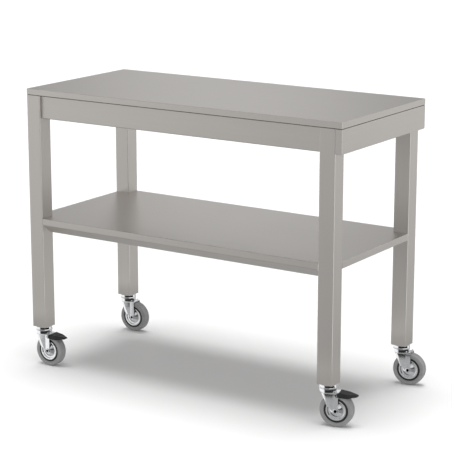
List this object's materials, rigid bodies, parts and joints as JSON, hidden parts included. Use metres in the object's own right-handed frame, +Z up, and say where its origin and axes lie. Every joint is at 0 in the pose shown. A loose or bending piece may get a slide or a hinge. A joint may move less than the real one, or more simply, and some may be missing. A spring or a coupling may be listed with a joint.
{
  "type": "serving trolley",
  "caption": "Satin steel serving trolley: flat table top over a lower shelf between square legs, on swivel castors, the front ones with a foot brake.",
  "frame": {"origin": "on the floor under the middle of the whole extent, wheels and brake pedals included", "axes": "+X along the table top towards the end with the upright panel, +Y from the front with the braked castors to the back, +Z up"},
  "size_m": [1.1588, 0.5026, 0.888],
  "materials": {
    "sheet": "satin stainless sheet, warm grey, fine brushing",
    "board": "raw particle board, hidden in the top",
    "plated": "bright zinc plating",
    "rubber": "matt grey non-marking rubber",
    "rim": "black nylon moulding, matt",
    "pedal": "black moulding, satin"
  },
  "bodies": {
    "frame": {"top_sheet": "sheet", "top_board": "board", "front_rail": "sheet", "rear_rail": "sheet", "left_rail": "sheet", "right_rail": "sheet", "end_panel": "sheet", "shelf": "sheet", "shelf_stiffener": "sheet", "leg_front_left": "sheet", "leg_rear_left": "sheet", "leg_front_right": "sheet", "leg_rear_right": "sheet", "leg_socket_front_left": "plated", "leg_socket_rear_left": "plated", "leg_socket_front_right": "plated", "leg_socket_rear_right": "plated", "castor_head_front_left": "plated", "castor_head_rear_left": "plated", "castor_head_front_right": "plated", "castor_head_rear_right": "plated", "ball_ring_front_left": "plated", "ball_ring_rear_left": "plated", "ball_ring_front_right": "plated", "ball_ring_rear_right": "plated"},
    "castor_front_left": {"fork_front_left": "plated", "axle_front_left": "plated", "axle_sleeve_front_left": "plated", "front_guard_front_left": "plated", "back_guard_front_left": "plated"},
    "wheel_front_left": {"wheel_rim_front_left": "rim", "tyre_front_left": "rubber"},
    "pedal_front_left": {"brake_pedal_front_left": "pedal", "brake_shoe_front_left": "pedal"},
    "castor_rear_left": {"fork_rear_left": "plated", "axle_rear_left": "plated", "axle_sleeve_rear_left": "plated", "front_guard_rear_left": "plated", "back_guard_rear_left": "plated"},
    "wheel_rear_left": {"wheel_rim_rear_left": "rim", "tyre_rear_left": "rubber"},
    "castor_front_right": {"fork_front_right": "plated", "axle_front_right": "plated", "axle_sleeve_front_right": "plated", "front_guard_front_right": "plated", "back_guard_front_right": "plated"},
    "wheel_front_right": {"wheel_rim_front_right": "rim", "tyre_front_right": "rubber"},
    "pedal_front_right": {"brake_pedal_front_right": "pedal", "brake_shoe_front_right": "pedal"},
    "castor_rear_right": {"fork_rear_right": "plated", "axle_rear_right": "plated", "axle_sleeve_rear_right": "plated", "front_guard_rear_right": "plated", "back_guard_rear_right": "plated"},
    "wheel_rear_right": {"wheel_rim_rear_right": "rim", "tyre_rear_right": "rubber"}
  },
  "joints": [
    {"name": "swivel_front_left", "type": "hinge", "parent": "frame", "child": "castor_front_left", "pos_m": [-0.55336, -0.22534, 0.1145], "axis": [0, 0, 1], "continuous": true},
    {"name": "wheel_spin_front_left", "type": "hinge", "parent": "castor_front_left", "child": "wheel_front_left", "pos_m": [-0.52636, -0.22534, 0.05], "axis": [0, 1, 0], "continuous": true},
    {"name": "brake_front_left", "type": "hinge", "parent": "castor_front_left", "child": "pedal_front_left", "pos_m": [-0.52286, -0.22534, 0.0968], "axis": [0, 1, 0], "range_deg": [0, 10]},
    {"name": "swivel_rear_left", "type": "hinge", "parent": "frame", "child": "castor_rear_left", "pos_m": [-0.55336, 0.22466, 0.1145], "axis": [0, 0, 1], "continuous": true},
    {"name": "wheel_spin_rear_left", "type": "hinge", "parent": "castor_rear_left", "child": "wheel_rear_left", "pos_m": [-0.52637, 0.2256, 0.05], "axis": [-0.0349, 0.9994, 0], "continuous": true},
    {"name": "swivel_front_right", "type": "hinge", "parent": "frame", "child": "castor_front_right", "pos_m": [0.49064, -0.22534, 0.1145], "axis": [0, 0, 1], "continuous": true},
    {"name": "wheel_spin_front_right", "type": "hinge", "parent": "castor_front_right", "child": "wheel_front_right", "pos_m": [0.5169, -0.21904, 0.05], "axis": [-0.2334, 0.9724, 0], "continuous": true},
    {"name": "brake_front_right", "type": "hinge", "parent": "castor_front_right", "child": "pedal_front_right", "pos_m": [0.5203, -0.21822, 0.0968], "axis": [-0.2334, 0.9724, 0], "range_deg": [0, 10]},
    {"name": "swivel_rear_right", "type": "hinge", "parent": "frame", "child": "castor_rear_right", "pos_m": [0.49064, 0.22466, 0.1145], "axis": [0, 0, 1], "continuous": true},
    {"name": "wheel_spin_rear_right", "type": "hinge", "parent": "castor_rear_right", "child": "wheel_rear_right", "pos_m": [0.51723, 0.22935, 0.05], "axis": [-0.1736, 0.9848, 0], "continuous": true}
  ]
}
